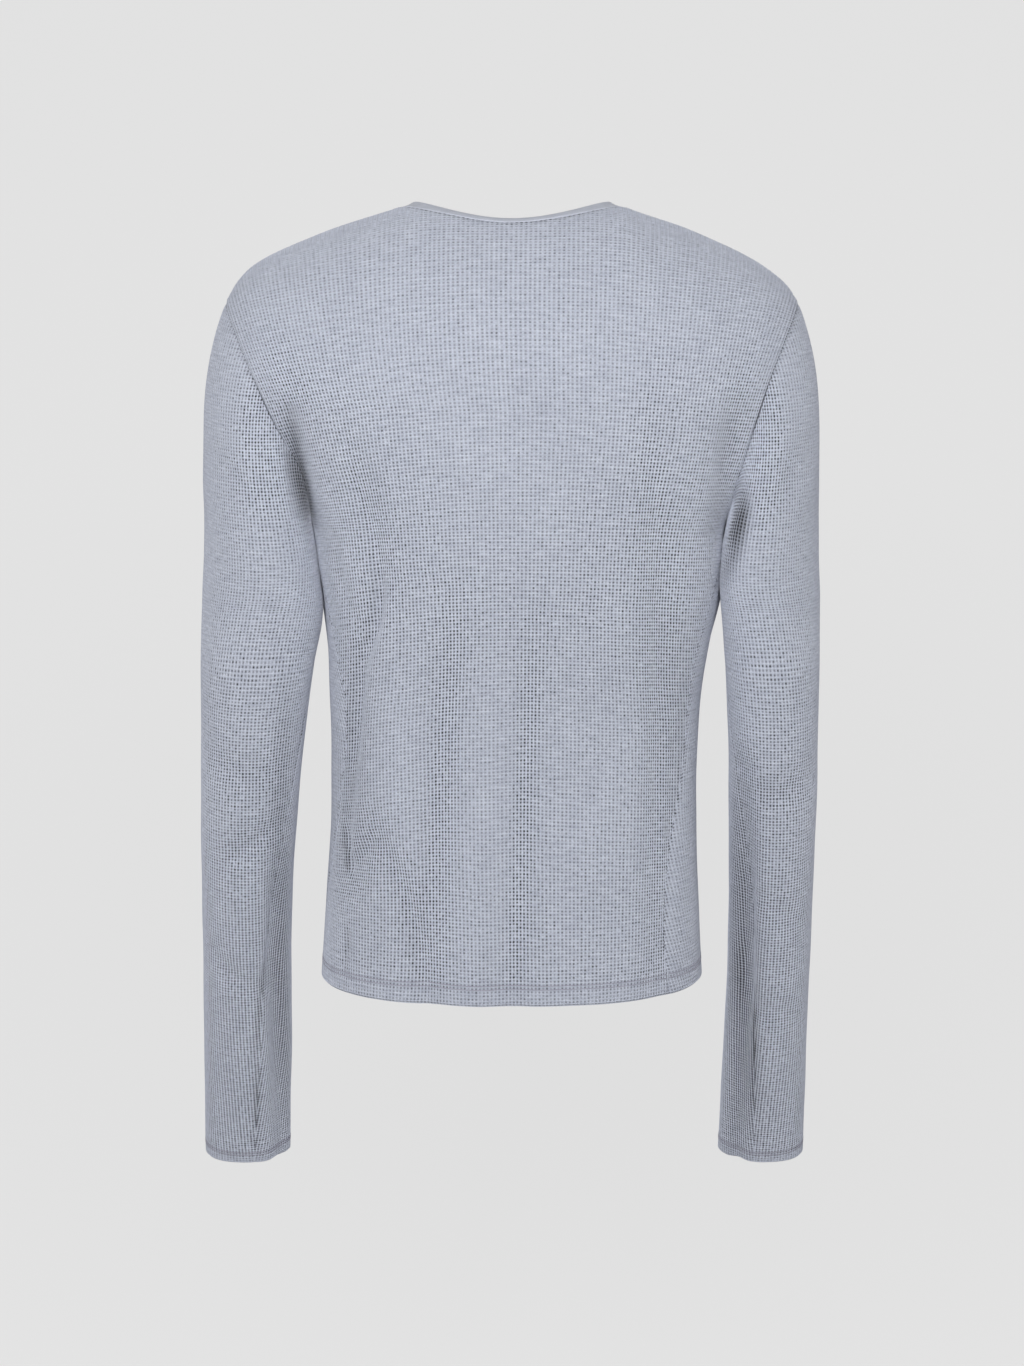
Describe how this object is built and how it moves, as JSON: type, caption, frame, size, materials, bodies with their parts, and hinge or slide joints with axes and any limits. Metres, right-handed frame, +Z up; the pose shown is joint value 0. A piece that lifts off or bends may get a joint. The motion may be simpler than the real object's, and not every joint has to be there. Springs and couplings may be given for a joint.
{
  "type": "thermal top",
  "caption": "Fitted long-sleeved crew-neck thermal top in waffle knit, hollow and in its worn shape, with a narrow neckband and turned, stitched hem and cuffs.",
  "frame": {"origin": "middle of the neck opening, level with the shoulder points beside the neck, where the wearer's shoulders hold the top up", "axes": "+Z up, +Y toward the wearer's back, +X toward the wearer's left; the wearer faces -Y"},
  "size_m": [0.5054, 0.235, 0.7971],
  "materials": {
    "waffle_knit": "heather blue-grey waffle knit, matt and slightly fuzzy",
    "neckband_knit": "the same yarn in a plain fine knit, matt"
  },
  "bodies": {
    "root": {"back": "waffle_knit", "front": "waffle_knit", "sleeve_left": "waffle_knit", "sleeve_right": "waffle_knit", "neckband": "neckband_knit"}
  },
  "joints": []
}
